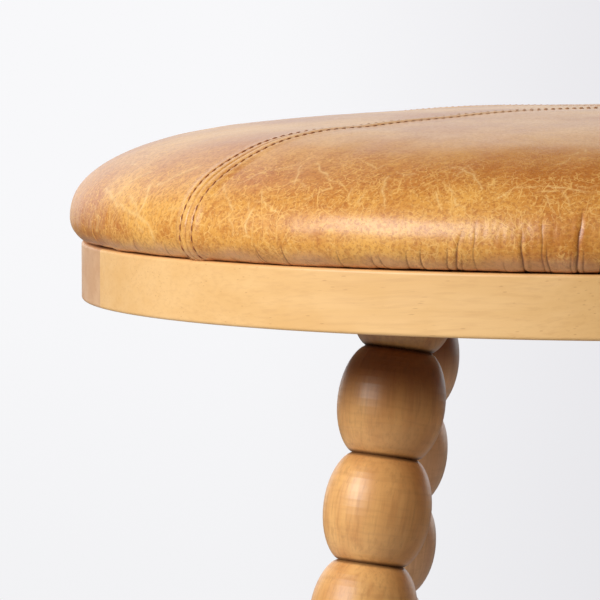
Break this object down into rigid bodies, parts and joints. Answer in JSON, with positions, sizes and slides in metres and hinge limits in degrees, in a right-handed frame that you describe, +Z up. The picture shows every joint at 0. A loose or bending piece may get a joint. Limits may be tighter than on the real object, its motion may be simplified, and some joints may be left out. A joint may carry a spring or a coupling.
{
  "type": "counter stool",
  "caption": "Round counter stool with a domed pie-seamed leather cushion on a beech hoop, carried by splayed ball-turned legs tied by ball-turned rails.",
  "frame": {"origin": "on the floor under the middle of the seat", "axes": "+Z up through the seat's middle, -Y to the front (the lower rail's side), +X to the right"},
  "size_m": [0.4392, 0.4392, 0.66],
  "materials": {
    "leather": "waxed pull-up leather, scratched and rubbed, satin",
    "wadding": "bonded polyester wadding",
    "foam": "open-cell upholstery foam",
    "plywood": "bare birch plywood",
    "hoop_wood": "clear satin lacquer on pale beech",
    "base_wood": "clear matt lacquer on beech",
    "turned_wood": "brown stain under satin lacquer",
    "glide_nylon": "matt moulded nylon",
    "steel": "zinc-plated"
  },
  "bodies": {
    "root": {"leather_panel_front": "leather", "leather_panel_right": "leather", "leather_panel_back": "leather", "leather_panel_left": "leather", "wadding": "wadding", "foam_pad": "foam", "cushion_board": "plywood", "upholstery_tacks": "steel", "ring_segment_right": "hoop_wood", "ring_segment_back": "hoop_wood", "ring_segment_left": "hoop_wood", "ring_segment_front": "hoop_wood", "ring_dowels": "hoop_wood", "seat_base": "base_wood", "cushion_bolts": "steel", "bolt_washers": "steel", "tee_nuts": "steel", "leg_front_left": "turned_wood", "leg_front_right": "turned_wood", "leg_back_right": "turned_wood", "leg_back_left": "turned_wood", "tenon_wedges": "turned_wood", "rail_front": "turned_wood", "rail_back": "turned_wood", "rail_left": "turned_wood", "rail_right": "turned_wood", "glide_front_left": "glide_nylon", "glide_front_right": "glide_nylon", "glide_back_right": "glide_nylon", "glide_back_left": "glide_nylon", "glide_screws": "steel"}
  },
  "joints": []
}
